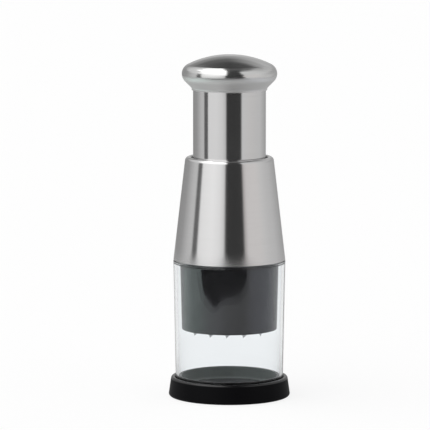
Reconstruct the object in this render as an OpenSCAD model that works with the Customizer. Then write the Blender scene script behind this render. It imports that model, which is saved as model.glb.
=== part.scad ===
// Plunger food chopper: steel knob and housing, clear cup, zigzag blade and black base cap.
// Millimetres, +Z up. The origin is the centre of the foot, on the surface it stands on.
// Nearly every piece is turned about the Z axis, so most modules are one profile of [radius, height].

/* [Base cap] */
// Greatest diameter of the base cap, just above its bottom edge
base_d = 87.6; // [86:0.2:94]
// Wall of the base cap outside the cup, at the rim
base_rim_wall = 3.1; // [2.6:0.1:3.8]
// Height of the outer rim above the surface
base_h = 14.4; // [11:0.2:16]
// Rounding of the bottom edge
base_edge_r = 1.7; // [1:0.1:3]
// Rounding of the outer rim
base_rim_r = 1.5; // [0.5:0.1:1.6]
// Height of the groove floor that the cup stands on
groove_floor = 5.5; // [4:0.1:6]
// Height of the inner ring that stands inside the cup
ring_h = 15.6; // [12:0.2:18]
// Wall of the inner ring
ring_wall = 1.55; // [1:0.05:2.5]
// Top of the cutting pad above the surface
pad_top = 6.8; // [5:0.1:7]
// Thickness of the cutting pad
pad_t = 2.2; // [1.5:0.1:2.6]
// Depth of the hollow under the middle of the base cap
base_hollow = 1.4; // [0.5:0.1:1.6]

/* [Foot ring] */
// Distance of the non-slip ring from the base cap's greatest diameter
foot_inset = 3.2; // [3:0.1:5]
// Width of the non-slip ring
foot_w = 4; // [2:0.2:5]
// Height of the non-slip ring
foot_h = 1.6; // [1:0.1:2.2]
// How far the ring stands out under the base cap
foot_proud = 0.3; // [0.2:0.1:0.8]

/* [Cup] */
// Outer diameter of the cup at its foot
cup_foot_d = 77.3; // [76:0.1:77.8]
// How far each side of the cup leans out from foot to shoulder
cup_flare = 1.75; // [0.5:0.05:2.5]
// Wall of the cup
cup_wall = 2.2; // [1.6:0.1:2.6]
// Height of the shoulder above the surface
shoulder_h = 99; // [90:0.1:110]
// Width of the shoulder outside the neck
shoulder_w = 2.4; // [2:0.1:3]
// Wall of the neck
neck_wall = 1.9; // [1.5:0.1:2.2]
// Height of the neck above the shoulder
neck_h = 9.6; // [9:0.2:12]
// Thickness of the shoulder where the neck begins
shoulder_t = 1.7; // [1.5:0.1:3]

/* [Steel housing] */
// How far the cone's lower edge stands in from the side of the cup
skirt_inset = 0.05; // [0:0.05:0.3]
// Width of the rim from its opening to the cone's side
rim_w = 4.3; // [4.2:0.1:5]
// Height of the cone, from lower edge to rim
shell_h = 74.7; // [74:0.1:90]
// Sheet thickness of the cone
shell_t = 0.8; // [0.5:0.1:1]
// Outer rounding of the rim
rim_r = 3; // [2.4:0.1:3.4]
// Gap between the rim's opening and the sleeve
opening_gap = 1.55; // [1.2:0.05:2]
// Radius of the rolled inner lip of the rim
lip_r = 1.1; // [1:0.05:1.2]
// Gap between the skirt and the shoulder of the cup
skirt_gap = 0.3; // [0.2:0.05:0.6]

/* [Housing core] */
// Wall of the moulded core
core_wall = 1.6; // [1.2:0.1:2]
// Floor of the moulded core
core_floor = 4; // [3:0.2:5]
// Length of the boss that holds the index nut, below the floor's seat
nut_boss_h = 6; // [4:0.5:8]
// Outer diameter of that boss
nut_boss_d = 34; // [33:0.5:38]
// Height of the screw bosses for the guard, above the floor
guard_boss_h = 5; // [3:0.5:8]
// Clearance between glued or pressed pieces of one body
seat_gap = 0.05; // [0.02:0.01:0.1]
// Clearance between the core and the steel cone
glue_gap = 0.15; // [0.1:0.05:0.3]

/* [Guide bush] */
// Length of the bush inside the core
bush_len = 7.5; // [6:0.5:10]
// Wall of the bush
bush_wall = 3.4; // [3:0.1:3.5]
// Height of the bush flange, above the core
bush_flange_h = 3.5; // [2:0.1:3.6]
// Width of the bush flange outside the bush
bush_flange_w = 0.3; // [0.2:0.05:0.4]
// Distance from the top of the rim down to the top of the bush
bush_recess = 1.4; // [1.3:0.1:3]
// Radial running clearance between bush and sleeve
slide_gap = 0.07; // [0.05:0.01:0.1]

/* [Plunger] */
// Outer diameter of the sleeve
sleeve_d = 52.3; // [51.8:0.1:52.6]
// Sheet thickness of the sleeve and of the knob
sleeve_t = 0.9; // [0.6:0.1:1.2]
// Length of sleeve that shows between rim and knob at rest
stem_show = 48.1; // [44:0.1:60]
// Height of the stop ring's lip under the sleeve
stop_lip = 1.5; // [1:0.1:2.5]
// Height of the stop ring
stop_h = 7.4; // [5:0.1:9]
// Width of the stop ring outside the sleeve
stop_w = 1.45; // [1:0.05:1.5]
// Gap between stop ring and bush at rest
stop_gap = 0.3; // [0.2:0.05:0.6]
// Gap left above the bumper and the cutting pad at full stroke
end_gap = 0.3; // [0.2:0.05:0.6]

/* [Knob] */
// Greatest diameter of the knob
knob_d = 68.4; // [66:0.1:72]
// Radius of the knob's edge
knob_edge_r = 7.5; // [6:0.1:9]
// Radius of the dome on top
dome_r = 68; // [55:1:90]
// Radius of the hollow fillet between the knob's collar and its flare
flare_fillet = 1.5; // [1:0.1:5]
// Straight collar of the knob above its seam with the sleeve
knob_collar = 0.75; // [0.4:0.05:3]
// Length of the sleeve inside the knob's collar, above the seam
sleeve_lap = 2; // [1:0.5:3]
// Depth of the knob core inside the sleeve, below the seam
plug_depth = 17; // [12:0.5:18]
// Wall of the knob core
plug_wall = 2.4; // [1.6:0.1:3]
// Thickness of the knob core's plate over the spring
plug_plate = 4; // [3:0.5:5]
// Depth of the spring pocket under the plate
spring_pocket = 7; // [4:0.5:8]
// Number of ribs in the knob core
rib_count = 6; // [3:1:8]
// Thickness of a rib
rib_t = 1.8; // [1:0.1:2.5]

/* [Push rod and shaft] */
// Outer diameter of the push rod
rod_d = 16; // [14.5:0.5:17]
// Bore of the push rod above the journal
rod_bore = 11.6; // [10.5:0.1:12]
// Length of the journal bearing at the rod's lower end
journal_len = 10; // [8:0.5:14]
// Diameter of the journal
journal_d = 8; // [7:0.1:8.4]
// Radial running clearance of the journal
journal_gap = 0.05; // [0.02:0.01:0.1]
// Side of the twisted square shaft
shaft_side = 9; // [8:0.1:9.4]
// Corner cut of the twisted square shaft
shaft_corner = 0.6; // [0.4:0.1:1]
// Twist of the shaft, degrees per millimetre
twist_rate = 0.75; // [0.3:0.05:1]
// Diameter of the round spigot in the blade carrier
spigot_d = 8.8; // [8:0.1:9]
// Diameter of the two cross pins
pin_d = 2.6; // [2:0.1:3]
// Diameter of the swivel screw's thread
swivel_screw_d = 3; // [2.5:0.1:3.5]
// Thickness of the swivel washer
swivel_washer_t = 1; // [0.8:0.1:1.5]

/* [Index nut] */
// Diameter of the nut's hub
nut_d = 18; // [17:0.2:19]
// Diameter of the nut's flange
nut_flange_d = 26; // [24:0.5:26.4]
// Thickness of the nut's flange
nut_flange_t = 2.5; // [2:0.1:3.5]
// Height of the square guide at the top of the nut
guide_h = 3; // [2:0.2:4]
// Clearance on each side of the square shaft
guide_gap = 0.3; // [0.25:0.05:0.4]
// Thickness of the retainer plate
retainer_t = 2; // [1.5:0.1:3]

/* [Screws] */
// Thread diameter of the housing's screws
screw_d = 2.5; // [2:0.1:2.7]
// Head diameter of the housing's screws
screw_head_d = 4.4; // [4:0.1:4.6]
// Head height of the housing's screws
screw_head_h = 1.8; // [1.4:0.1:2.2]
// Number of screws that hold the guard
guard_screw_count = 4; // [3:1:6]
// Number of screws that hold the nut retainer
retainer_screw_count = 3; // [3:1:6]
// Radius at which the retainer's screws stand
retainer_screw_r = 15; // [14.8:0.1:15.2]

/* [Spring and bumper] */
// Wire diameter of the return spring
wire_d = 1.8; // [1.2:0.1:2.2]
// Mean diameter of the return spring
coil_d = 27.6; // [26:0.2:28]
// Number of working turns
turns = 11; // [8:1:14]
// Pitch of the first and last turn beyond the wire itself
end_turn_gap = 0.6; // [0.5:0.1:1]
// Thickness of the spring seat
seat_t = 0.8; // [0.5:0.1:1.2]
// Outer diameter of the spring seat
seat_d = 33; // [31:0.5:36]
// Height of the stroke bumper
bumper_h = 1.5; // [1:0.1:3]
// Width of the stroke bumper
bumper_w = 4; // [2:0.5:5]

/* [Blade guard] */
// Gap between the guard's collar and the neck of the cup
collar_gap = 0.35; // [0.25:0.05:0.5]
// Wall of the collar
collar_wall = 2.95; // [2.7:0.05:3.2]
// How far the guard's side stands in from the collar
guard_step = 0.2; // [0.1:0.05:0.6]
// How far the guard draws in from the collar to its lower edge
guard_taper = 1.2; // [0.2:0.1:1.6]
// Wall of the guard
guard_wall = 1.6; // [1:0.1:1.8]
// Thickness of the guard's fixing flange
guard_flange_t = 3; // [2:0.2:4]
// Width of the guard's fixing flange
guard_flange_w = 9.5; // [8:0.5:12]
// Height of the seal groove in the collar
seal_h = 3.4; // [2.5:0.1:4]
// Depth of the seal groove in the collar
seal_depth = 1.3; // [0.8:0.1:1.4]
// Radial clearance between the seal and the neck of the cup
seal_fit = 0.05; // [0.02:0.01:0.1]

/* [Blade] */
// How far the blade folds stand out below the guard at rest
blade_show = 2.8; // [0:0.1:4]
// Height of the blade strip
blade_h = 16.2; // [12:0.2:20]
// Thickness of the blade strip
blade_t = 0.7; // [0.4:0.05:1]
// Thickness of the ground cutting edge
edge_t = 0.3; // [0.2:0.05:0.35]
// Height of the ground cutting edge
edge_h = 1.4; // [0.8:0.1:3]
// Distance between neighbouring folds on one side
fold_pitch = 11.8; // [10:0.1:12]
// Number of folds on the front side
front_folds = 5; // [4:1:5]
// Distance of the folds from the edge of the carrier disc
fold_inset = 1.8; // [0.6:0.1:2]
// Radius of the bend at a fold
fold_r = 0.75; // [0.5:0.05:1]
// Angle of the blade about the axis at rest
blade_angle = -4.1; // [-30:0.1:30]
// Thickness of the carrier disc
carrier_t = 4; // [3:0.2:6]
// Gap between the carrier disc and the inside of the guard
carrier_gap = 1.05; // [0.6:0.05:1.5]
// Depth of the slot that holds the blade
slot_depth = 2; // [1:0.1:2.4]
// Diameter of the carrier hub
hub_d = 17; // [15:0.5:20]
// Height of the carrier hub above the disc
hub_h = 15; // [10:0.5:18]

/* [Hidden] */
$fn = 96;

// Clearance at the cup's foot, inside and outside
cup_fit = 0.3;
// Overshoot of a cut past the face it opens
past = 1;
// Clearance of a screw's tip in its blind hole, and the wall above that hole
tip_gap = 0.5;
blind_wall = 1;
// Clearance round a screw's head
head_gap = 0.3;

// Cup and base
foot_r = base_d / 2 - foot_inset;
cup_foot_r = cup_foot_d / 2;
cup_top_r = cup_foot_r + cup_flare;
neck_r = cup_top_r - shoulder_w;
neck_bore_r = neck_r - neck_wall;
cup_slope = cup_flare / (shoulder_h - groove_floor);
function cup_r(z) = cup_foot_r + (z - groove_floor) * cup_slope;
groove_out_r = cup_r(base_h) + cup_fit;
base_rim_r_out = groove_out_r + base_rim_wall;
ring_r = cup_foot_r - cup_wall - cup_fit;
dish_r = ring_r - ring_wall;
pad_bottom = pad_top - pad_t;
neck_top = shoulder_h + neck_h;
shoulder_round = 0.6;
cup_edge = 0.3;

// Housing shell: the cone's line, and the circle of its rounded rim
shell_foot = shoulder_h + skirt_gap;
shell_rim = shell_foot + shell_h;
shell_foot_r = cup_top_r - skirt_inset;
sleeve_r = sleeve_d / 2;
opening_r = sleeve_r + opening_gap;
shell_slope = (shell_foot_r - opening_r - rim_w) / (shell_h - rim_r);
cone_angle = atan(shell_slope);
function shell_r(z) = shell_foot_r - (z - shell_foot) * shell_slope;
function shell_in_r(z) = shell_r(z) - shell_t / cos(cone_angle);
rim_z = shell_rim - rim_r;
rim_x = shell_r(shell_rim - rim_r * (1 - sin(cone_angle))) - rim_r * cos(cone_angle);

// Housing core and what it carries
core_seat = neck_top;
core_deck = core_seat + core_floor;
bush_top = shell_rim - bush_recess;
core_top = bush_top - bush_flange_h;
bush_bottom = core_top - bush_len;
bush_r = sleeve_r + slide_gap + bush_wall;
function core_r(z) = shell_in_r(z) - glue_gap;
nut_boss_bottom = core_seat - nut_boss_h;
nut_bottom = nut_boss_bottom - nut_flange_t;
retainer_bottom = nut_bottom - retainer_t;
guide_mid = core_deck - guide_h / 2;
guard_boss_r = screw_head_d / 2 + head_gap;

// Stroke of the plunger, from the stop ring's place under the bush down to the bumper
bumper_top = core_deck + bumper_h;
stop_r = sleeve_r + stop_w;
stop_top = bush_bottom - stop_gap;
stop_bottom = stop_top - stop_h;
stroke = stop_bottom - bumper_top - end_gap;
sleeve_bottom = stop_bottom + stop_lip;
seam = shell_rim + stem_show;
// The blade's tips end the stroke just above the cutting pad
blade_bottom = pad_top + end_gap + stroke;
guard_bottom = blade_bottom + blade_show;

// Knob: edge circle, dome circle and fillet circle, all tangent
knob_r = knob_d / 2;
flare_angle = 45;
knob_neck_r = sleeve_r + seat_gap + sleeve_t;
fillet_z = seam + knob_collar;
sleeve_top = seam + sleeve_lap;
flare_run = (knob_r - knob_edge_r * (1 - cos(flare_angle)))
          - (knob_neck_r + flare_fillet * (1 - cos(flare_angle)));
edge_z = fillet_z + flare_fillet * sin(flare_angle) + flare_run * tan(flare_angle)
       + knob_edge_r * sin(flare_angle);
dome_z = edge_z - sqrt((dome_r - knob_edge_r) ^ 2 - (knob_r - knob_edge_r) ^ 2);
dome_angle = atan2(edge_z - dome_z, knob_r - knob_edge_r);

// Plunger inside
plug_bottom = seam - plug_depth;
plate_bottom = plug_bottom + spring_pocket;
plate_top = plate_bottom + plug_plate;
plug_gap = 0.1;
bowl_top = edge_z + knob_edge_r * 0.35;
bowl_bottom = sleeve_top + seat_gap;
rod_r = rod_d / 2;
rod_reach = 6;
rod_top = plate_top + rod_reach;
boss_wall = 2;
boss_top = rod_top + boss_wall;
rod_pin_z = plate_top + rod_reach / 2;
seat_top = core_deck + seat_t;
rod_end_gap = 1.7;
rod_bottom = stroke + seat_top + rod_end_gap;
rod_shoulder = rod_bottom + journal_len;
swivel_play = 0.15;
journal_top = rod_shoulder + swivel_play;
shaft_corner_r = norm([shaft_side / 2, shaft_side / 2 - shaft_corner]);
shaft_pass_r = shaft_corner_r + rod_end_gap;

// Depth of a cross pin's ends below the hub that it crosses
pin_inset = 0.2;

// Blade and carrier
blade_top = blade_bottom + blade_h;
disc_bottom = blade_top - slot_depth;
disc_top = disc_bottom + carrier_t;
carrier_pin_z = disc_top + hub_h * 0.6;
slot_gap = 0.05;
collar_r = neck_bore_r - collar_gap;
collar_in_r = collar_r - collar_wall;
collar_step = 0.5;
collar_bottom = shoulder_h + collar_step;
guard_top_r = collar_r - guard_step;
guard_foot_r = guard_top_r - guard_taper;
guard_screw_r = collar_in_r - screw_head_d / 2 - head_gap;
carrier_r = guard_foot_r - guard_wall - carrier_gap;
fold_circle_r = carrier_r - fold_inset;
seal_mid = (collar_bottom + core_seat - guard_flange_t) / 2;
flange_in_r = collar_in_r - guard_flange_w;

// Points on a circle of radius r about [x, z], from one angle to another
function arc(x, z, r, from, to, steps = 10) =
    [for (i = [0 : steps]) let (a = from + (to - from) * i / steps) [x + r * cos(a), z + r * sin(a)]];

// A solid turned about the Z axis from a profile of [radius, height] points
module turned(profile) {
    rotate_extrude() polygon(profile);
}

// A plain ring with its lower and upper face given
module ring(outer_r, inner_r, bottom, top) {
    translate([0, 0, bottom]) difference() {
        cylinder(r = outer_r, h = top - bottom);
        translate([0, 0, -past]) cylinder(r = inner_r, h = top - bottom + 2 * past);
    }
}

// A bore along Z, open past both ends
module bore(r, bottom, top) {
    translate([0, 0, bottom - past]) cylinder(r = r, h = top - bottom + 2 * past);
}

// Copies of what follows, evenly spaced on a circle
module around(count, radius, turn = 0) {
    for (i = [0 : count - 1]) rotate([0, 0, turn + i * 360 / count]) translate([radius, 0, 0]) children();
}

// A screw that points up: head below the given face, thread above it
module screw_up(face, thread_d, thread_len, head_d, head_h) {
    recess_r = head_d * 0.26;
    recess_depth = head_h * 0.55;
    difference() {
        union() {
            translate([0, 0, face - head_h]) cylinder(d = head_d, h = head_h);
            translate([0, 0, face]) cylinder(d = thread_d, h = thread_len);
        }
        translate([0, 0, face - head_h - past]) cylinder(r = recess_r, h = recess_depth + past, $fn = 6);
    }
}

// ---- base ----

module base_cap() {
    bottom = foot_proud;
    edge_x = base_d / 2 - base_edge_r;
    rim_x = base_rim_r_out - base_rim_r;
    foot_out = foot_r + seat_gap;
    foot_in = foot_r - foot_w - seat_gap;
    foot_wall = 2;
    hollow_r = foot_in - foot_wall;
    lean = atan((base_d / 2 - base_rim_r_out) / (base_h - base_rim_r - bottom - base_edge_r));
    lead = 0.6;
    ring_round = 0.4;
    color([0.07, 0.07, 0.08]) turned(concat(
        [[0, bottom + base_hollow], [hollow_r, bottom + base_hollow], [hollow_r, bottom]],
        [[foot_in, bottom], [foot_in, foot_h], [foot_out, foot_h], [foot_out, bottom]],
        arc(edge_x, bottom + base_edge_r, base_edge_r, -90, 0),
        arc(rim_x, base_h - base_rim_r, base_rim_r, lean, 90),
        [[groove_out_r + lead, base_h], [groove_out_r, base_h - lead], [groove_out_r, groove_floor]],
        [[ring_r, groove_floor]],
        arc(ring_r - ring_round, ring_h - ring_round, ring_round, 0, 90, 4),
        arc(dish_r + ring_round, ring_h - ring_round, ring_round, 90, 180, 4),
        [[dish_r, pad_bottom], [0, pad_bottom]]
    ));
}

module cutting_pad() {
    pad_fit = 0.2;
    pad_r = dish_r - pad_fit;
    pad_edge = 0.4;
    color([0.2, 0.2, 0.21]) turned([
        [0, pad_bottom], [pad_r, pad_bottom], [pad_r, pad_top - pad_edge],
        [pad_r - pad_edge, pad_top], [0, pad_top]
    ]);
}

module foot_ring() {
    edge = 0.15;
    color([0.12, 0.12, 0.12]) turned([
        [foot_r - foot_w, foot_h], [foot_r - foot_w, edge], [foot_r - foot_w + edge, 0],
        [foot_r - edge, 0], [foot_r, edge], [foot_r, foot_h]
    ]);
}

// ---- cup ----

module clear_cup() {
    foot_in_r = cup_foot_r - cup_wall;
    shoulder_under = shoulder_h - shoulder_t;
    wide_in_r = cup_r(shoulder_under) - cup_wall;
    color([0.86, 0.92, 0.92, 0.35]) turned(concat(
        [[foot_in_r, groove_floor + cup_edge], [foot_in_r + cup_edge, groove_floor]],
        [[cup_foot_r - cup_edge, groove_floor], [cup_foot_r, groove_floor + cup_edge]],
        arc(cup_top_r - shoulder_round, shoulder_h - shoulder_round, shoulder_round, 0, 90, 6),
        [[neck_r, shoulder_h], [neck_r, neck_top - cup_edge], [neck_r - cup_edge, neck_top]],
        [[neck_bore_r + cup_edge, neck_top], [neck_bore_r, neck_top - cup_edge]],
        [[neck_bore_r, shoulder_under]],
        arc(wide_in_r - shoulder_round, shoulder_under - shoulder_round, shoulder_round, 90, 0, 6)
    ));
}

// ---- housing ----

module housing_shell() {
    hem = 0.25;
    color([0.74, 0.73, 0.72]) turned(concat(
        [[shell_in_r(shell_foot), shell_foot + hem], [shell_in_r(shell_foot) + hem, shell_foot]],
        [[shell_foot_r - hem, shell_foot], [shell_r(shell_foot + hem), shell_foot + hem]],
        arc(rim_x, rim_z, rim_r, cone_angle, 90),
        arc(opening_r + lip_r, shell_rim - lip_r, lip_r, 90, 180, 6),
        arc(opening_r + lip_r, shell_rim - lip_r, lip_r - shell_t, 180, 90, 6),
        arc(rim_x, rim_z, rim_r - shell_t, 90, cone_angle)
    ));
}

module housing_core() {
    bore_r = bush_r + seat_gap;
    ledge = core_wall;
    color([0.16, 0.16, 0.17]) difference() {
        union() {
            turned([
                [0, core_seat], [core_r(core_seat), core_seat], [core_r(core_top), core_top],
                [bore_r, core_top], [bore_r, bush_bottom],
                [core_r(bush_bottom - ledge) - core_wall, bush_bottom - ledge],
                [core_r(core_deck) - core_wall, core_deck], [0, core_deck]
            ]);
            translate([0, 0, nut_boss_bottom]) cylinder(d = nut_boss_d, h = nut_boss_h + past);
            difference() {
                around(guard_screw_count, guard_screw_r, 45)
                    translate([0, 0, core_deck - past]) cylinder(r = guard_boss_r, h = guard_boss_h + past);
                translate([0, 0, core_deck]) cylinder(r = stop_r + end_gap, h = guard_boss_h + past);
            }
        }
        bore(nut_d / 2 + seat_gap, nut_boss_bottom, core_deck);
        around(guard_screw_count, guard_screw_r, 45)
            translate([0, 0, core_seat - past])
                cylinder(d = screw_d + 2 * seat_gap, h = past + core_floor + guard_boss_h - blind_wall);
        around(retainer_screw_count, retainer_screw_r)
            translate([0, 0, nut_boss_bottom - past])
                cylinder(d = screw_d + 2 * seat_gap, h = past + nut_boss_h + core_floor - blind_wall);
    }
}

module guide_bush() {
    inner_r = sleeve_r + slide_gap;
    flange_r = bush_r + bush_flange_w;
    lead = 0.5;
    color([0.1, 0.1, 0.11]) turned([
        [inner_r + lead, bush_bottom], [bush_r, bush_bottom], [bush_r, core_top],
        [flange_r, core_top], [flange_r, bush_top - lead], [flange_r - lead, bush_top],
        [inner_r + lead, bush_top], [inner_r, bush_top - lead], [inner_r, bush_bottom + lead]
    ]);
}

module index_nut() {
    hole = shaft_side + 2 * guide_gap;
    relief_r = norm([hole, hole]) / 2 + tip_gap;
    color([0.85, 0.84, 0.8]) difference() {
        union() {
            translate([0, 0, nut_bottom]) cylinder(d = nut_flange_d, h = nut_flange_t);
            translate([0, 0, nut_boss_bottom]) cylinder(d = nut_d, h = core_deck - nut_boss_bottom);
        }
        translate([-hole / 2, -hole / 2, nut_bottom - past])
            cube([hole, hole, core_deck - nut_bottom + 2 * past]);
        translate([0, 0, nut_bottom - past])
            cylinder(r = relief_r, h = core_deck - guide_h - nut_bottom + past);
    }
}

module nut_retainer() {
    recess_r = nut_flange_d / 2 + 2 * seat_gap;
    color([0.3, 0.3, 0.32]) difference() {
        translate([0, 0, retainer_bottom]) cylinder(d = nut_boss_d, h = nut_boss_bottom - retainer_bottom);
        translate([0, 0, nut_bottom]) cylinder(r = recess_r, h = nut_flange_t + past);
        bore(shaft_pass_r, retainer_bottom, nut_bottom);
        around(retainer_screw_count, retainer_screw_r)
            bore(screw_d / 2 + seat_gap, retainer_bottom, nut_boss_bottom);
    }
}

module retainer_screws() {
    reach = core_deck - blind_wall - tip_gap - retainer_bottom;
    color([0.6, 0.6, 0.6]) around(retainer_screw_count, retainer_screw_r)
        screw_up(retainer_bottom, screw_d, reach, screw_head_d, screw_head_h);
}

module spring_seat() {
    color([0.7, 0.7, 0.7]) ring(seat_d / 2, shaft_pass_r, core_deck, seat_top);
}

module stroke_bumper() {
    color([0.25, 0.25, 0.25]) ring(stop_r, stop_r - bumper_w, core_deck, bumper_top);
}

module blade_guard() {
    groove_r = collar_r - seal_depth;
    seal_low = seal_mid - seal_h / 2;
    seal_high = seal_mid + seal_h / 2;
    flange_bottom = core_seat - guard_flange_t;
    edge = 0.3;
    lead = 1.2;
    color([0.26, 0.27, 0.27]) difference() {
        turned([
            [guard_foot_r - guard_wall, guard_bottom + edge],
            [guard_foot_r - guard_wall + edge, guard_bottom],
            [guard_foot_r - edge, guard_bottom], [guard_foot_r, guard_bottom + edge],
            [guard_top_r, shoulder_h], [collar_r, collar_bottom],
            [collar_r, seal_low], [groove_r, seal_low], [groove_r, seal_high], [collar_r, seal_high],
            [collar_r, core_seat], [flange_in_r, core_seat], [flange_in_r, flange_bottom],
            [collar_in_r, flange_bottom], [collar_in_r, collar_bottom + lead],
            [guard_top_r - guard_wall, collar_bottom - lead]
        ]);
        around(guard_screw_count, guard_screw_r, 45) bore(screw_d / 2 + seat_gap, flange_bottom, core_seat);
    }
}

module guard_screws() {
    face = core_seat - guard_flange_t;
    reach = guard_flange_t + core_floor + guard_boss_h - blind_wall - tip_gap;
    color([0.6, 0.6, 0.6]) around(guard_screw_count, guard_screw_r, 45)
        screw_up(face, screw_d, reach, screw_head_d, screw_head_h);
}

module cup_seal() {
    inner_r = collar_r - seal_depth + seat_gap;
    outer_r = neck_bore_r - seal_fit;
    low = seal_mid - seal_h / 2 + seat_gap;
    high = seal_mid + seal_h / 2 - seat_gap;
    body_r = collar_r - seat_gap;
    lip = seal_h / 4;
    color([0.75, 0.76, 0.76]) turned([
        [inner_r, low], [body_r, low], [outer_r, low + lip], [outer_r, high - lip],
        [body_r, high], [inner_r, high]
    ]);
}

// ---- return spring ----

// Height of the wire's centre after t turns: close turns at both ends, open turns between
spring_low = seat_top + wire_d / 2;
spring_high = plate_bottom - wire_d / 2;
end_rise = wire_d + end_turn_gap;
open_pitch = (spring_high - spring_low - 2 * end_rise) / turns;
function spring_z(t) =
    spring_low + (min(t, 1) + max(0, t - 1 - turns)) * end_rise + max(0, min(t - 1, turns)) * open_pitch;

module return_spring() {
    sides = 6;
    rings_per_turn = 8;
    last = (turns + 2) * rings_per_turn;
    points = [for (i = [0 : last]) let (a = i * 360 / rings_per_turn, z = spring_z(i / rings_per_turn))
        for (j = [0 : sides - 1]) let (b = j * 360 / sides, r = coil_d / 2 + wire_d / 2 * cos(b))
            [r * cos(a), r * sin(a), z + wire_d / 2 * sin(b)]];
    function at(i, j) = i * sides + j % sides;
    skin = [for (i = [0 : last - 1]) for (j = [0 : sides - 1]) each [
        [at(i, j), at(i + 1, j), at(i + 1, j + 1)],
        [at(i, j), at(i + 1, j + 1), at(i, j + 1)]
    ]];
    caps = [for (j = [1 : sides - 2]) each [
        [at(0, 0), at(0, j), at(0, j + 1)],
        [at(last, 0), at(last, j + 1), at(last, j)]
    ]];
    color([0.66, 0.67, 0.69]) polyhedron(points, concat(skin, caps));
}

// ---- plunger ----

// The knob's profile from its seam to its apex, set in from the outside by inset
function knob_profile(inset) = concat(
    [[knob_neck_r - inset, seam]],
    arc(knob_neck_r + flare_fillet, fillet_z, flare_fillet + inset, 180, 180 - flare_angle, 6),
    arc(knob_r - knob_edge_r, edge_z, knob_edge_r - inset, -flare_angle, dome_angle, 14),
    arc(0, dome_z, dome_r - inset, dome_angle, 90, 14)
);

module knob_cap() {
    color([0.74, 0.73, 0.72]) rotate_extrude() difference() {
        polygon(concat(knob_profile(0), [[0, seam]]));
        polygon(concat(knob_profile(sleeve_t), [[0, seam - past], [knob_neck_r - sleeve_t, seam - past]]));
    }
}

// The knob core's bowl: the space inside the knob, a wall thick, open at the top
module plug_bowl() {
    outside = sleeve_t + plug_gap;
    inside = outside + plug_wall;
    rotate_extrude() difference() {
        intersection() {
            polygon(concat(knob_profile(outside), [[0, seam]]));
            translate([0, bowl_bottom]) square([knob_r, bowl_top - bowl_bottom]);
        }
        polygon(concat(knob_profile(inside), [[0, seam - past], [knob_neck_r - inside, seam - past]]));
    }
}

module knob_core() {
    plug_r = sleeve_r - sleeve_t - plug_gap;
    boss_r = rod_r + boss_wall;
    rib_turn = 30;
    color([0.2, 0.2, 0.21]) difference() {
        union() {
            plug_bowl();
            ring(plug_r, plug_r - plug_wall, plug_bottom, bowl_bottom + past);
            translate([0, 0, plate_bottom]) cylinder(r = plug_r - plug_wall / 2, h = plug_plate);
            translate([0, 0, plug_bottom]) cylinder(r = boss_r, h = boss_top - plug_bottom);
            around(rib_count, 0, rib_turn)
                translate([0, -rib_t / 2, plate_top - past])
                    cube([plug_r - plug_wall / 2, rib_t, boss_top - plate_top + past]);
        }
        translate([0, 0, plug_bottom - past])
            cylinder(r = rod_r + seat_gap, h = rod_top - plug_bottom + past);
        translate([0, 0, rod_top - past]) cylinder(d = rod_bore, h = boss_wall + 2 * past);
        cross_bore(pin_d / 2 + seat_gap, rod_pin_z, 2 * boss_r);
    }
}

// A bore along X through the axis, open past both sides of a hub of the given diameter
module cross_bore(r, z, across) {
    length = across + 2 * past;
    translate([-length / 2, 0, z]) rotate([0, 90, 0]) cylinder(r = r, h = length);
}

// A pin along X through the axis
module cross_pin(d, z, length) {
    translate([-length / 2, 0, z]) rotate([0, 90, 0]) cylinder(d = d, h = length);
}

module plunger_sleeve() {
    color([0.74, 0.73, 0.72]) ring(sleeve_r, sleeve_r - sleeve_t, sleeve_bottom, sleeve_top);
}

module stop_ring() {
    clasp_r = sleeve_r + seat_gap;
    color([0.15, 0.15, 0.16]) turned([
        [sleeve_r - sleeve_t, stop_bottom], [stop_r, stop_bottom], [stop_r, stop_top],
        [clasp_r, stop_top], [clasp_r, sleeve_bottom], [sleeve_r - sleeve_t, sleeve_bottom]
    ]);
}

module push_rod() {
    color([0.82, 0.82, 0.8]) difference() {
        translate([0, 0, rod_bottom]) cylinder(r = rod_r, h = rod_top - rod_bottom);
        bore(journal_d / 2 + journal_gap, rod_bottom, rod_shoulder);
        translate([0, 0, rod_shoulder]) cylinder(d = rod_bore, h = rod_top - rod_shoulder + past);
        cross_bore(pin_d / 2 + seat_gap, rod_pin_z, rod_d);
    }
}

module rod_pin() {
    color([0.7, 0.7, 0.7]) cross_pin(pin_d, rod_pin_z, 2 * (rod_r + boss_wall - pin_inset));
}

// ---- blade ----

// The twisted bar: its flats face X and Y where it passes through the nut's guide at rest
module twisted_bar(bottom, top) {
    half = shaft_side / 2;
    near = half - shaft_corner;
    bar = top - bottom;
    turn_step = 1.5;
    outline = [[half, -near], [half, near], [near, half], [-near, half],
               [-half, near], [-half, -near], [-near, -half], [near, -half]];
    translate([0, 0, bottom]) rotate([0, 0, (guide_mid - bottom) * twist_rate])
        linear_extrude(height = bar, twist = bar * twist_rate, slices = ceil(bar * twist_rate / turn_step),
                       $fn = len(outline))
            polygon(outline);
}

module drive_shaft() {
    screw_r = swivel_screw_d / 2 + seat_gap;
    color([0.68, 0.68, 0.7]) difference() {
        union() {
            twisted_bar(nut_bottom, rod_bottom);
            translate([0, 0, disc_top]) cylinder(d = spigot_d, h = nut_bottom + past - disc_top);
            translate([0, 0, rod_bottom - past])
                cylinder(d = journal_d, h = journal_top + past - rod_bottom);
        }
        translate([0, 0, journal_top - journal_len]) cylinder(r = screw_r, h = journal_len + past);
        cross_bore(pin_d / 2 + seat_gap, carrier_pin_z, spigot_d);
    }
}

module swivel_washer() {
    inner_r = swivel_screw_d / 2 + seat_gap;
    outer_r = rod_bore / 2 - head_gap;
    color([0.7, 0.7, 0.7]) ring(outer_r, inner_r, journal_top, journal_top + swivel_washer_t);
}

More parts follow.
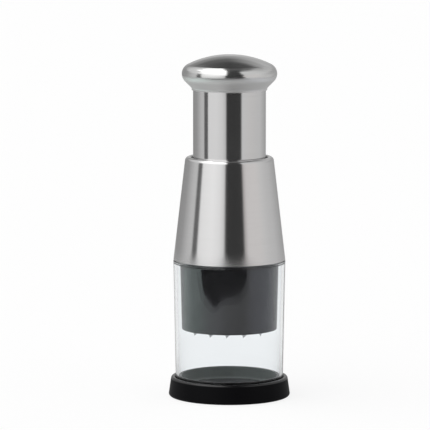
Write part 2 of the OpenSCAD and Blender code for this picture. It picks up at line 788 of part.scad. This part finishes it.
module swivel_screw() {
    face = journal_top + swivel_washer_t;
    color([0.6, 0.6, 0.6]) mirror([0, 0, 1])
        screw_up(-face, swivel_screw_d, journal_len, swivel_screw_d * 2, swivel_screw_d * 0.8);
}

// The folds' centres, front and back in turn, all on one circle
fold_total = 2 * front_folds - 1;
folds = [for (i = [0 : fold_total - 1])
    let (x = (i - (fold_total - 1) / 2) * fold_pitch / 2, y = sqrt(fold_circle_r ^ 2 - x ^ 2))
        [x, i % 2 == 0 ? -y : y]];

// The blade strip seen from above, with its thickness and its fold radius
module strip(thickness, bend) {
    for (i = [0 : len(folds) - 2]) {
        run = folds[i + 1] - folds[i];
        translate(folds[i]) rotate([0, 0, atan2(run[1], run[0])])
            translate([0, -thickness / 2]) square([norm(run), thickness]);
    }
    for (p = folds) translate(p) circle(r = bend);
}

module zigzag_blade() {
    color([0.78, 0.79, 0.8]) rotate([0, 0, blade_angle]) {
        translate([0, 0, blade_bottom]) linear_extrude(height = edge_h) strip(edge_t, edge_t * 0.8);
        translate([0, 0, blade_bottom + edge_h])
            linear_extrude(height = blade_h - edge_h) strip(blade_t, fold_r);
    }
}

module blade_carrier() {
    edge = 0.5;
    web_h = hub_h * 0.45;
    web_t = 2;
    web_inset = 4;
    web_reach = carrier_r - web_inset;
    color([0.14, 0.14, 0.15]) difference() {
        union() {
            turned([
                [0, disc_bottom], [carrier_r - edge, disc_bottom], [carrier_r, disc_bottom + edge],
                [carrier_r, disc_top - edge], [carrier_r - edge, disc_top], [0, disc_top]
            ]);
            translate([0, 0, disc_top - past]) cylinder(d = hub_d, h = hub_h + past);
            for (a = [45 : 90 : 315]) rotate([90, 0, a]) translate([0, disc_top - past, -web_t / 2])
                linear_extrude(height = web_t)
                    polygon([[0, 0], [web_reach, 0], [web_reach, past],
                             [hub_d / 2, past + web_h], [0, past + web_h]]);
        }
        translate([0, 0, disc_top]) cylinder(r = spigot_d / 2 + seat_gap, h = hub_h + past);
        cross_bore(pin_d / 2 + seat_gap, carrier_pin_z, hub_d);
        rotate([0, 0, blade_angle]) translate([0, 0, disc_bottom - past])
            linear_extrude(height = slot_depth + past) strip(blade_t + 2 * slot_gap, fold_r + slot_gap);
    }
}

module carrier_pin() {
    color([0.7, 0.7, 0.7]) cross_pin(pin_d, carrier_pin_z, hub_d - 2 * pin_inset);
}

base_cap();
cutting_pad();
foot_ring();
clear_cup();
housing_shell();
housing_core();
guide_bush();
index_nut();
nut_retainer();
retainer_screws();
spring_seat();
stroke_bumper();
blade_guard();
guard_screws();
cup_seal();
return_spring();
knob_cap();
knob_core();
plunger_sleeve();
stop_ring();
push_rod();
rod_pin();
drive_shaft();
swivel_washer();
swivel_screw();
blade_carrier();
carrier_pin();
zigzag_blade();
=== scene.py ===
"""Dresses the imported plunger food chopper: camera, studio, materials and the round-wire spring."""

import math

import bmesh
import bpy
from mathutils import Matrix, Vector


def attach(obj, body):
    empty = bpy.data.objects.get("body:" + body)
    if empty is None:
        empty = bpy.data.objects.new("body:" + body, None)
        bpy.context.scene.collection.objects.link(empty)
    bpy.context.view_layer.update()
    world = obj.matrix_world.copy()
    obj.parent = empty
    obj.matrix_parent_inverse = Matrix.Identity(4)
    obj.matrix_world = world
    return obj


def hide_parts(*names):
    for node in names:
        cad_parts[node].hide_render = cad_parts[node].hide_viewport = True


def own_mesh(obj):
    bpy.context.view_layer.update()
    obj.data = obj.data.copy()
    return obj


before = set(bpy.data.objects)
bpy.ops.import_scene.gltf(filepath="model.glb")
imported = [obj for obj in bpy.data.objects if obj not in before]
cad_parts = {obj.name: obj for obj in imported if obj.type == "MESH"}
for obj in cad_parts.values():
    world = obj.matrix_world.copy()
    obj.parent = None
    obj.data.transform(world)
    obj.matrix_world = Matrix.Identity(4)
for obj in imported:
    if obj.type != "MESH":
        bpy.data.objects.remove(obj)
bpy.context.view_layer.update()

# ---------------------------------------------------------------- camera
# Fitted to the photo's outline and ellipses: a long lens from a little above the horizon.
PHOTO_PX = 430
FOCAL_PX = 3604.0
SENSOR_MM = 36.0
DISTANCE = 2.595
ELEVATION = math.radians(7.33)
TARGET = Vector((0.0, 0.0, 0.1246))
# How far right of the picture's middle, and below it, the target stands
AIM_RIGHT_PX, AIM_DOWN_PX = 14.4, 9.6

cam = bpy.data.objects.new("camera", bpy.data.cameras.new("camera"))
bpy.context.scene.collection.objects.link(cam)
cam.data.sensor_width = SENSOR_MM
cam.data.lens = FOCAL_PX * SENSOR_MM / PHOTO_PX
cam.data.clip_start, cam.data.clip_end = 0.1, 100.0
ahead = Vector((0, math.cos(ELEVATION), -math.sin(ELEVATION)))
upward = Vector((0, math.sin(ELEVATION), math.cos(ELEVATION)))
cam.location = TARGET - DISTANCE * ahead
look = ahead - Vector((1, 0, 0)) * AIM_RIGHT_PX / FOCAL_PX + upward * AIM_DOWN_PX / FOCAL_PX
cam.rotation_mode = "QUATERNION"
cam.rotation_quaternion = look.to_track_quat("-Z", "Y")
bpy.context.scene.camera = cam
bpy.context.scene.view_settings.view_transform = "Standard"
bpy.context.scene.view_settings.look = "None"


# ---------------------------------------------------------------- node helpers
def rgba(value):
    """A grey or an (r, g, b) colour as the four values that Blender takes."""
    return (*value, 1) if isinstance(value, tuple) else (value,) * 3 + (1,)


class Net:
    """A short way to write shader nodes."""

    def __init__(self, tree):
        self.tree = tree
        tree.nodes.clear()

    def put(self, socket, value):
        if isinstance(value, bpy.types.NodeSocket):
            self.tree.links.new(value, socket)
        else:
            socket.default_value = value

    def add(self, kind, **values):
        """A new node. A name is one of its sockets, with _ for a space, or else one of its settings."""
        n = self.tree.nodes.new(kind)
        for key, value in values.items():
            name = key.replace("_", " ")
            if name in n.inputs:
                self.put(n.inputs[name], value)
            else:
                setattr(n, key, value)
        return n

    def math(self, op, a, b=0.0, c=0.0, clamp=False):
        n = self.add("ShaderNodeMath", operation=op, use_clamp=clamp)
        for socket, value in zip(n.inputs, (a, b, c)):
            self.put(socket, value)
        return n.outputs[0]

    def smooth(self, value, low, high):
        """0 at low and 1 at high, eased at both ends. low may be the larger."""
        n = self.add("ShaderNodeMapRange", interpolation_type="SMOOTHSTEP", Value=value, From_Min=low,
                     From_Max=high)
        return n.outputs[0]

    def ramp(self, value, stops):
        n = self.add("ShaderNodeValToRGB")
        e = n.color_ramp.elements
        while len(e) < len(stops):
            e.new(0.5)
        for item, (at, colour) in zip(e, stops):
            item.position = at
            item.color = rgba(colour)
        self.put(n.inputs[0], value)
        return n.outputs[0]

    def mix(self, fac, a, b):
        n = self.add("ShaderNodeMix", data_type="RGBA")
        self.put(n.inputs[0], fac)
        for socket, value in ((n.inputs[6], a), (n.inputs[7], b)):
            self.put(socket, value if isinstance(value, bpy.types.NodeSocket) else rgba(value))
        return n.outputs[2]

    def coords(self, scale=(1, 1, 1)):
        """The place on the object in metres, stretched."""
        c = self.add("ShaderNodeTexCoord").outputs["Object"]
        return self.add("ShaderNodeMapping", Vector=c, Scale=scale).outputs[0]

    def split(self, vector):
        return self.add("ShaderNodeSeparateXYZ", Vector=vector).outputs

    def radius(self, x, y):
        return self.math("SQRT", self.math("ADD", self.math("MULTIPLY", x, x), self.math("MULTIPLY", y, y)))

    def compass(self, x, y):
        """Azimuth in degrees, 0 towards the camera and + to its right, and its place on a round ramp."""
        turn = self.math("ARCTAN2", x, self.math("MULTIPLY", y, -1.0))
        turn = self.math("MULTIPLY", turn, 180 / math.pi)
        return turn, self.math("MULTIPLY_ADD", turn, 1 / 360, 0.5)

    def round_ramp(self, place, stops):
        """A ramp by azimuth, whose stops are in degrees from -180 to 180."""
        return self.ramp(place, [((a + 180) / 360, c) for a, c in stops])

    def noise(self, vector, scale, detail=2.0, rough=0.5, distort=0.0):
        n = self.add("ShaderNodeTexNoise", Vector=vector, Scale=scale, Detail=detail, Roughness=rough,
                     Distortion=distort)
        return n.outputs["Fac"]

    def bump(self, height, strength, distance):
        return self.add("ShaderNodeBump", Height=height, Strength=strength, Distance=distance).outputs[0]

    def either(self, fac, one, two):
        """Shader one where fac is 0, two where it is 1."""
        n = self.add("ShaderNodeMixShader")
        for socket, value in zip(n.inputs, (fac, one.outputs[0], two.outputs[0])):
            self.put(socket, value)
        return n

    def surface(self, node, kind="ShaderNodeOutputMaterial"):
        self.put(self.add(kind).inputs["Surface"], node.outputs[0])


def material(name):
    m = bpy.data.materials.new(name)
    m.use_nodes = True
    return m, Net(m.node_tree)


def principled(net, **sockets):
    net.surface(net.add("ShaderNodeBsdfPrincipled", **sockets))


# ---------------------------------------------------------------- studio
# What stands round the object, as (elevation in degrees, its azimuths in degrees with their light)
BANDS = [
    (-6, [(-180, 0.40), (-156, 0.31), (-125, 0.38), (-100, 0.60), (-88, 0.62), (-85.5, 0.13),
          (-73, 0.13), (-70.5, 0.86), (-40, 0.86), (-22, 0.78), (-12, 0.62), (-8.5, 0.04), (36, 0.04),
          (41, 0.70), (70, (0.68, 0.67, 0.665)), (112, 0.63), (135, 0.50), (156, 0.40), (180, 0.40)]),
    (12, [(-180, 0.60), (-168, 0.40), (-152, 0.33), (-129, 0.35), (-110, 0.51), (-96, 0.66),
          (-87, 0.66), (-84.5, 0.15), (-75, 0.15), (-72, 1.05), (-40, 1.12), (-22, 1.0), (-12, 0.80),
          (-8.5, 0.042), (31, 0.042), (34.5, (0.74, 0.705, 0.695)), (70, (0.78, 0.75, 0.74)),
          (84, 0.72), (97, 0.63), (111, 0.54), (128, 0.46), (150, 0.42), (168, 0.42), (180, 0.60)]),
    (24, [(-180, 0.33), (-165, 0.26), (-150, 0.50), (-130, 0.72), (-95, 0.78), (-80, 1.10), (-60, 1.30),
          (-9, 1.25), (-6, 0.045), (34, 0.045), (38, 0.72), (80, 0.70), (110, 0.64), (150, 0.52),
          (166, 0.55), (174, 0.45), (180, 0.33)]),
    (35, [(-180, 0.15), (-166, 0.13), (-157, 0.28), (-145, 0.66), (-120, 0.76), (-92, 0.82), (-84, 1.6),
          (-9, 1.6), (-6, 0.05), (30, 0.05), (34, 0.72), (80, 0.70), (115, 0.56), (150, 0.54),
          (164, 0.42), (172, 0.30), (180, 0.15)]),
    (48, [(-180, 0.065), (-165, 0.10), (-158, 0.13), (-150, 0.40), (-138, 0.78), (-118, 0.82),
          (-110, 1.7), (-10, 1.7), (-7, 0.05), (33, 0.05), (37, 0.74), (70, 0.72), (95, 0.58),
          (115, 0.50), (140, 0.38), (155, 0.14), (166, 0.09), (180, 0.065)]),
    (64, [(-180, 0.06), (-150, 0.06), (-140, 0.25), (-132, 1.7), (-16, 1.7), (-10, 0.05), (42, 0.07),
          (62, 0.36), (80, 0.30), (98, 0.15), (112, 0.36), (128, 0.22), (145, 0.08), (180, 0.06)]),
]
BAND_EDGE = 1.5  # a band's change to the next begins and ends this many degrees inside their elevations
# Overhead, from the first elevation to the second, the roof takes over: white on the left of the split in
# the direction's x, and dark on its right
ROOF_RISE, ROOF_SPLIT = (67.0, 76.0), (-0.17, -0.06)
ROOF_WHITE, ROOF_DARK = 1.7, 0.11
# The plain light from below ends between these elevations
BELOW_RISE, BELOW_LIGHT = (-30.0, -9.0), 0.52

# What polished faces see in the table, by azimuth: its light close to the base and further out, and how
# far out, in metres, a dark patch in it begins
TABLE_NEAR = [
    (-180, 0.46), (-130, 0.46), (-100, 0.52), (-80, 0.62), (-59, 0.66), (-40, 0.63), (-22, 0.56),
    (-8, 0.40), (12, 0.36), (32, 0.37), (47, 0.43), (64, 0.45), (138, 0.45), (180, 0.46)]
TABLE_PALE = [
    (-180, 0.46), (-135, 0.52), (-120, (0.92, 1.03, 1.00)), (-72, (0.92, 1.05, 1.01)),
    (-50, (0.78, 0.82, 0.82)), (-25, (0.72, 0.73, 0.75)), (0, 0.54), (27, 0.47), (38, 0.54),
    (50, (0.66, 0.66, 0.70)), (75, (0.72, 0.73, 0.78)), (110, (0.74, 0.75, 0.79)), (130, 0.52),
    (180, 0.46)]
DARK_PATCH_START = [
    (-68, 0.545), (-65, 0.505), (-60.5, 0.450), (-50, 0.417), (-36, 0.3835), (-31, 0.3835),
    (-23.5, 0.3945), (-16, 0.411), (-10, 0.415), (-1, 0.4165), (7, 0.418), (14, 0.423), (27, 0.442),
    (33, 0.465), (39.5, 0.487)]
DARK_PATCH_LIGHT = 0.03
DARK_PATCH_SOFT = 0.004  # half the width of its near edge, in metres
DARK_PATCH_LEFT, DARK_PATCH_RIGHT = (-68.5, -66.0), (41.0, 38.5)  # its sides, each from outside to inside
DARK_PATCH_END = (0.90, 0.80)
# Where the table goes from near to pale, from pale to far, and to nothing, in metres from the axis
NEAR_TO_PALE, PALE_TO_FAR, TABLE_END = (0.25, 0.30), (0.58, 0.66), (1.25, 1.05)
FAR_LIGHT = 0.45

FLOOR_RADIUS, FLOOR_SIDES = 6.0, 128
FLOOR_GREY, FLOOR_GLOW = 0.20, 0.84
IN_WALL_LOSS = 0.9  # how much of the table's image a ray that was mirrored inside the cup's wall loses


def mirrored(net, y):
    """Two factors. The first is 1 for a ray that a surface has turned back, and 0 for one that only went
    through the clear cup's wall, straight or bent in its edge, so that it goes on to the back (y above
    0). The second is 1 for a ray that was mirrored once inside the wall."""
    path = net.add("ShaderNodeLightPath").outputs
    once = net.math("COMPARE", path["Glossy Depth"], 1.0, 0.1)
    in_wall = net.math("MULTIPLY", once, net.math("COMPARE", path["Transmission Depth"], 2.0, 0.1))
    behind = net.math("MULTIPLY", in_wall, net.smooth(y, -0.1, 0.2))
    turned = net.math("GREATER_THAN", net.math("ADD", path["Glossy Depth"], path["Diffuse Depth"]), 0.5)
    return net.math("SUBTRACT", turned, behind, clamp=True), in_wall


def studio():
    """The room that shiny faces see, by direction. Rays that only pass through see plain white."""
    world = bpy.data.worlds.new("studio")
    world.use_nodes = True
    bpy.context.scene.world = world
    net = Net(world.node_tree)
    x, y, z = net.split(net.add("ShaderNodeTexCoord").outputs["Generated"])
    place = net.compass(x, y)[1]
    rise = net.math("MULTIPLY", net.math("ARCSINE", z), 180 / math.pi)
    room = net.round_ramp(place, BANDS[0][1])
    for (low, _), (high, stops) in zip(BANDS, BANDS[1:]):
        fac = net.smooth(rise, low + BAND_EDGE, high - BAND_EDGE)
        room = net.mix(fac, room, net.round_ramp(place, stops))
    roof = net.mix(net.smooth(x, *ROOF_SPLIT), ROOF_WHITE, ROOF_DARK)
    room = net.mix(net.smooth(rise, *ROOF_RISE), room, roof)
    room = net.mix(net.smooth(rise, *BELOW_RISE), BELOW_LIGHT, room)
    through = net.math("SUBTRACT", 1.0, mirrored(net, y)[0])
    net.surface(net.add("ShaderNodeBackground", Color=net.mix(through, room, 1.0)), "ShaderNodeOutputWorld")


def table_view(net, place):
    """The table's colour for a mirrored ray, and 1 out to the table's end."""
    x, y, _ = net.split(place)
    turn, at = net.compass(x, y)
    out = net.add("ShaderNodeVectorMath", operation="LENGTH")
    net.put(out.inputs[0], place)
    out = out.outputs["Value"]
    pale = net.mix(net.smooth(out, *PALE_TO_FAR), net.round_ramp(at, TABLE_PALE), FAR_LIGHT)
    pale = net.mix(net.smooth(out, *NEAR_TO_PALE), net.round_ramp(at, TABLE_NEAR), pale)
    # A dark patch in the table's image, which only mirrored rays see
    past = net.math("SUBTRACT", out, net.round_ramp(at, DARK_PATCH_START))
    dark_patch = net.smooth(past, -DARK_PATCH_SOFT, DARK_PATCH_SOFT)
    for value, edge in ((turn, DARK_PATCH_LEFT), (turn, DARK_PATCH_RIGHT), (out, DARK_PATCH_END)):
        dark_patch = net.math("MULTIPLY", dark_patch, net.smooth(value, *edge))
    return net.mix(dark_patch, pale, DARK_PATCH_LIGHT), net.smooth(out, *TABLE_END)


def floor():
    """A plain pale floor. Mirrored rays see table_view in it, and nothing of it past the table's end."""
    bm = bmesh.new()
    bmesh.ops.create_circle(bm, cap_ends=True, radius=FLOOR_RADIUS, segments=FLOOR_SIDES)
    mesh = bpy.data.meshes.new("floor")
    bm.to_mesh(mesh)
    bm.free()
    ob = bpy.data.objects.new("floor", mesh)
    bpy.context.scene.collection.objects.link(ob)
    m, net = material("pale_floor")
    lit = net.add("ShaderNodeAddShader")
    net.put(lit.inputs[0], net.add("ShaderNodeBsdfDiffuse", Color=rgba(FLOOR_GREY)).outputs[0])
    net.put(lit.inputs[1], net.add("ShaderNodeEmission", Color=rgba(1.0), Strength=FLOOR_GLOW).outputs[0])
    gone = net.add("ShaderNodeBsdfTransparent")
    place = net.add("ShaderNodeTexCoord").outputs["Object"]
    turned, in_wall = mirrored(net, net.split(place)[1])
    colour, on_table = table_view(net, place)
    strength = net.math("MULTIPLY_ADD", in_wall, -IN_WALL_LOSS, 1.0)
    image = net.either(on_table, gone, net.add("ShaderNodeEmission", Color=colour, Strength=strength))
    diffuse = net.add("ShaderNodeLightPath").outputs["Diffuse Depth"]
    shiny = net.math("MULTIPLY", turned, net.math("LESS_THAN", diffuse, 0.5))
    back = net.add("ShaderNodeNewGeometry").outputs["Backfacing"]
    net.surface(net.either(back, net.either(shiny, lit, image), gone))
    mesh.materials.append(m)


studio()
floor()

# ---------------------------------------------------------------- materials
# Places on base_cap and cutting_pad, in metres: from one finish to the next, or to a painted highlight at
# the dish's foot and at the board's edge
DISH_RADIUS = (0.0351, 0.0347)
LIP_HEIGHT = (0.0128, 0.0136)
DISH_FOOT_HIGHLIGHT_HEIGHT = (0.0088, 0.0070)
BOARD_HIGHLIGHT_RADIUS = (0.0330, 0.0337)


def span(colour, less, more):
    """A darker and a lighter take on a colour."""
    return tuple(c * less for c in colour), tuple(min(1, c * more) for c in colour)


def brushed(name, colour, rough, grain, streak, across=True, smudge=0.03, satin=None):
    """Stainless steel with fine drawn lines. across: the lines run round the axis, else along it. satin:
    the heights in metres where it begins and is full, and how much rougher it is there."""
    m, net = material(name)
    lines = net.coords((0.03, 0.03, 1.0) if across else (1.0, 1.0, 0.02))
    fine = net.noise(lines, grain, 3.0, 0.6)
    wide = net.noise(lines, grain * 0.22, 2.0, 0.5)
    soft = net.noise(net.coords(), 42.0, 3.0, 0.55)
    tone = net.math("ADD", net.math("MULTIPLY", fine, 0.6), net.math("MULTIPLY", wide, 0.4))
    r = net.math("ADD", net.math("MULTIPLY", tone, streak), net.math("MULTIPLY", soft, smudge))
    r = net.math("ADD", r, rough - streak * 0.5 - smudge * 0.5)
    if satin:
        start, full, more = satin
        height = net.split(net.coords())[2]
        r = net.math("ADD", r, net.math("MULTIPLY", net.smooth(height, start, full), more))
    principled(net, Base_Color=net.mix(tone, *span(colour, 0.94, 1.05)), Metallic=1.0, Roughness=r,
               Anisotropic=0.35, Normal=net.bump(tone, 0.18, 0.00003))
    return m


def moulded(name, colour, rough, texture=0.00004, scale=2600.0, gloss=0.5):
    """Injection-moulded plastic: a fine spark-eroded texture and slow flow marks."""
    m, net = material(name)
    pits = net.noise(net.coords(), scale, 2.0, 0.6)
    flow = net.noise(net.coords((1, 1, 0.35)), 55.0, 3.0, 0.5, 0.6)
    r = net.math("ADD", net.math("MULTIPLY", pits, 0.05), net.math("MULTIPLY", flow, 0.03))
    principled(net, Base_Color=net.mix(flow, *span(colour, 0.88, 1.12)),
               Roughness=net.math("ADD", r, rough - 0.04), Specular_IOR_Level=gloss,
               Normal=net.bump(pits, 0.25, texture))
    return m


def cap_plastic(name):
    """Black moulding: a spark-eroded skirt, a polished lip and a greyer, satin dish that the cup closes,
    paler at its foot, where the paleness is a painted highlight.
    """
    m, net = material(name)
    p = net.coords()
    x, y, z = net.split(p)
    dish = net.smooth(net.radius(x, y), *DISH_RADIUS)
    lip = net.math("MULTIPLY", net.smooth(z, *LIP_HEIGHT), net.math("SUBTRACT", 1.0, dish))
    pits = net.noise(p, 2300.0, 2.0, 0.6)
    flow = net.noise(net.coords((1, 1, 0.35)), 60.0, 3.0, 0.5, 0.6)
    skirt = net.mix(flow, (0.0030, 0.0030, 0.0036), (0.0042, 0.0042, 0.0050))
    wall = net.mix(flow, (0.255, 0.285, 0.275), (0.290, 0.320, 0.312))
    # Paler low in the dish: a painted highlight where the wall meets the floor
    wall = net.mix(net.smooth(z, *DISH_FOOT_HIGHLIGHT_HEIGHT), wall, (0.50, 0.535, 0.52))
    gloss = net.math("ADD", net.math("MULTIPLY", lip, 0.6), net.math("MULTIPLY", dish, 0.9))
    polish = net.math("ADD", net.math("MULTIPLY", lip, 0.22), net.math("MULTIPLY", dish, 0.14))
    rough = net.math("ADD", net.math("SUBTRACT", 0.42, polish), net.math("MULTIPLY", pits, 0.05))
    principled(net, Base_Color=net.mix(dish, skirt, wall), Roughness=rough,
               Specular_IOR_Level=net.math("ADD", gloss, 0.05), Normal=net.bump(pits, 0.25, 0.00003))
    return m


def board_plastic(name):
    """Cutting board: satin, with short cuts that the folds left and a paler edge, which is a painted
    highlight.
    """
    m, net = material(name)
    p = net.coords()
    x, y, _ = net.split(p)
    grain = net.noise(p, 1500.0, 2.0, 0.6)
    cuts = net.smooth(net.noise(net.coords((1, 0.08, 1)), 700.0, 2.0, 0.6), 0.60, 0.68)
    tint_and_highlight = net.mix(cuts, (0.048, 0.049, 0.053), (0.075, 0.076, 0.080))
    # Paler towards the rim: a painted highlight along the board's edge
    tint_and_highlight = net.mix(net.smooth(net.radius(x, y), *BOARD_HIGHLIGHT_RADIUS), tint_and_highlight, (0.190, 0.200, 0.200))
    principled(net, Base_Color=tint_and_highlight, Roughness=net.math("MULTIPLY_ADD", grain, 0.06, 0.32),
               Specular_IOR_Level=0.5, Normal=net.bump(net.math("SUBTRACT", grain, cuts), 0.25, 0.00005))
    return m


def rubber(name, colour, rough=0.62):
    """Soft rubber: matt grit and a slow bloom in the tone."""
    m, net = material(name)
    p = net.coords()
    grit = net.noise(p, 1900.0, 4.0, 0.7)
    bloom = net.noise(p, 120.0, 3.0, 0.6)
    principled(net, Base_Color=net.mix(bloom, *span(colour, 0.85, 1.25)),
               Roughness=net.math("MULTIPLY_ADD", grit, 0.12, rough - 0.06), Specular_IOR_Level=0.35,
               Normal=net.bump(grit, 0.4, 0.00005))
    return m


def machined(name, colour, rough, grain=5200.0):
    """Machined or ground steel: rings from the lathe, a few tool marks."""
    m, net = material(name)
    rings = net.noise(net.coords((0.05, 0.05, 1.0)), grain, 2.0, 0.7)
    wear = net.noise(net.coords(), 260.0, 4.0, 0.6)
    r = net.math("MULTIPLY_ADD", rings, 0.08, net.math("MULTIPLY", wear, 0.05))
    principled(net, Base_Color=net.mix(wear, *span(colour, 0.88, 1.0)), Metallic=1.0,
               Roughness=net.math("ADD", r, rough - 0.06), Normal=net.bump(rings, 0.3, 0.00002))
    return m


def clear(name):
    """Clear styrene-acrylic: thin, a little cool, with faint flow lines and a few hairline scuffs. Its
    index is low, so that the two faces of the wall double what stands behind them only faintly."""
    m, net = material(name)
    flow = net.noise(net.coords((1, 1, 0.25)), 34.0, 2.0, 0.5)
    scuff = net.noise(net.coords((1, 1, 6.0)), 900.0, 3.0, 0.7)
    wall = net.add("ShaderNodeBsdfPrincipled", IOR=1.25, Transmission_Weight=1.0,
                   Base_Color=net.mix(flow, (0.930, 0.947, 0.957), (0.942, 0.958, 0.967)),
                   Roughness=net.math("MULTIPLY_ADD", net.smooth(scuff, 0.62, 0.74), 0.05, 0.015),
                   Normal=net.bump(flow, 0.03, 0.0004))
    lets_light_in = net.add("ShaderNodeBsdfTransparent", Color=rgba((0.95, 0.965, 0.965)))
    shadow_ray = net.add("ShaderNodeLightPath").outputs["Is Shadow Ray"]
    net.surface(net.either(shadow_ray, wall, lets_light_in))
    return m


STEEL = (0.72, 0.715, 0.715)
MATERIALS = {
    "shell": brushed("steel_shell", STEEL, 0.115, 4200.0, 0.04, satin=(0.1110, 0.0985, 0.17)),
    "sleeve": brushed("steel_sleeve", STEEL, 0.10, 4600.0, 0.04),
    "knob": brushed("steel_knob", (0.72, 0.72, 0.715), 0.12, 3800.0, 0.03, satin=(0.2337, 0.2318, 0.33)),
    "washer": machined("steel_washers", (0.60, 0.59, 0.57), 0.26),
    "screw": machined("steel_screws", (0.56, 0.56, 0.56), 0.24, 6500.0),
    "shaft": machined("steel_shaft", (0.62, 0.62, 0.61), 0.22),
    "spring": machined("spring_wire", (0.50, 0.50, 0.50), 0.25, 7000.0),
    "blade": brushed("steel_blade", (0.70, 0.70, 0.70), 0.19, 5200.0, 0.08, across=False),
    "cap": cap_plastic("black_moulding"),
    "board": board_plastic("board_plastic"),
    "guard": moulded("guard_plastic", (0.012, 0.0115, 0.0125), 0.055, 0.0, 900.0, 1.0),
    "core": moulded("core_plastic", (0.035, 0.036, 0.038), 0.48),
    "bush": moulded("bush_plastic", (0.012, 0.012, 0.013), 0.38, 0.00002),
    "carrier": moulded("carrier_plastic", (0.045, 0.047, 0.05), 0.36),
    "nut": moulded("nut_plastic", (0.62, 0.60, 0.53), 0.40, 0.00002),
    "rubber": rubber("foot_rubber", (0.018, 0.018, 0.019)),
    "seal": rubber("seal_rubber", (0.30, 0.31, 0.31), 0.50),
    "cup": clear("clear_cup"),
}
WEARS = {
    "shell": ["housing_shell"],
    "sleeve": ["plunger_sleeve"],
    "knob": ["knob_cap"],
    "washer": ["spring_seat", "push_rod", "swivel_washer"],
    "screw": ["retainer_screws", "guard_screws", "rod_pin", "swivel_screw", "carrier_pin"],
    "shaft": ["drive_shaft"],
    "spring": ["return_spring"],
    "blade": ["zigzag_blade"],
    "cap": ["base_cap"],
    "board": ["cutting_pad"],
    "guard": ["blade_guard"],
    "core": ["housing_core", "nut_retainer", "knob_core"],
    "bush": ["guide_bush"],
    "carrier": ["blade_carrier"],
    "nut": ["index_nut", "stop_ring"],
    "rubber": ["foot_ring", "stroke_bumper"],
    "seal": ["cup_seal"],
    "cup": ["clear_cup"],
}
for key, names in WEARS.items():
    for name in names:
        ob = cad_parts[name]
        for slot in ob.material_slots:
            slot.material = MATERIALS[key]
        if not ob.material_slots:
            ob.data.materials.append(MATERIALS[key])

# ---------------------------------------------------------------- return spring
SPRING_FOOT, SPRING_TOP, SPRING_STROKE = 0.1134, 0.2121, 0.0395
WIRE, COIL_RADIUS = 0.0018, 0.0138
TURNS, CLOSED_TURNS, CLOSED_GAP = 13.0, 1.0, 0.0001
STEPS_A_TURN, WIRE_SIDES = 40, 14


def loft(name, rings):
    """A capped skin over rings of points, each ring a closed loop."""
    bm = bmesh.new()
    loops = [[bm.verts.new(p) for p in ring] for ring in rings]
    count = len(loops[0])
    for a, b in zip(loops, loops[1:]):
        for i in range(count):
            j = (i + 1) % count
            bm.faces.new((a[i], a[j], b[j], b[i]))
    bm.faces.new(list(reversed(loops[0])))
    bm.faces.new(loops[-1])
    bmesh.ops.recalc_face_normals(bm, faces=bm.faces)
    mesh = bpy.data.meshes.new(name)
    bm.to_mesh(mesh)
    bm.free()
    return mesh


def wire_height(t):
    """Height of the wire's middle after t turns: a closed turn at each end, an even pitch between them."""
    bottom, top = SPRING_FOOT + WIRE / 2, SPRING_TOP - WIRE / 2
    closed = WIRE + CLOSED_GAP
    if t < CLOSED_TURNS:
        return bottom + closed * t
    if t > TURNS - CLOSED_TURNS:
        return top - closed * (TURNS - t)
    open_height = top - bottom - 2 * CLOSED_TURNS * closed
    return bottom + CLOSED_TURNS * closed + open_height * (t - CLOSED_TURNS) / (TURNS - 2 * CLOSED_TURNS)


def coil_spring():
    """Round wire in place of the faceted coil."""
    up = Vector((0, 0, 1))
    section = [2 * math.pi * k / WIRE_SIDES for k in range(WIRE_SIDES)]
    rings = []
    for i in range(int(TURNS * STEPS_A_TURN) + 1):
        t = i / STEPS_A_TURN
        out = Vector((math.cos(2 * math.pi * t), math.sin(2 * math.pi * t), 0))
        middle = out * COIL_RADIUS + up * wire_height(t)
        rings.append([middle + (out * math.cos(a) + up * math.sin(a)) * WIRE / 2 for a in section])
    mesh = loft("coil_spring", rings)
    mesh.materials.append(MATERIALS["spring"])
    for poly in mesh.polygons:
        poly.use_smooth = True
    ob = bpy.data.objects.new("coil_spring", mesh)
    bpy.context.scene.collection.objects.link(ob)
    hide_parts("return_spring")
    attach(ob, "housing")
    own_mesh(ob)


coil_spring()
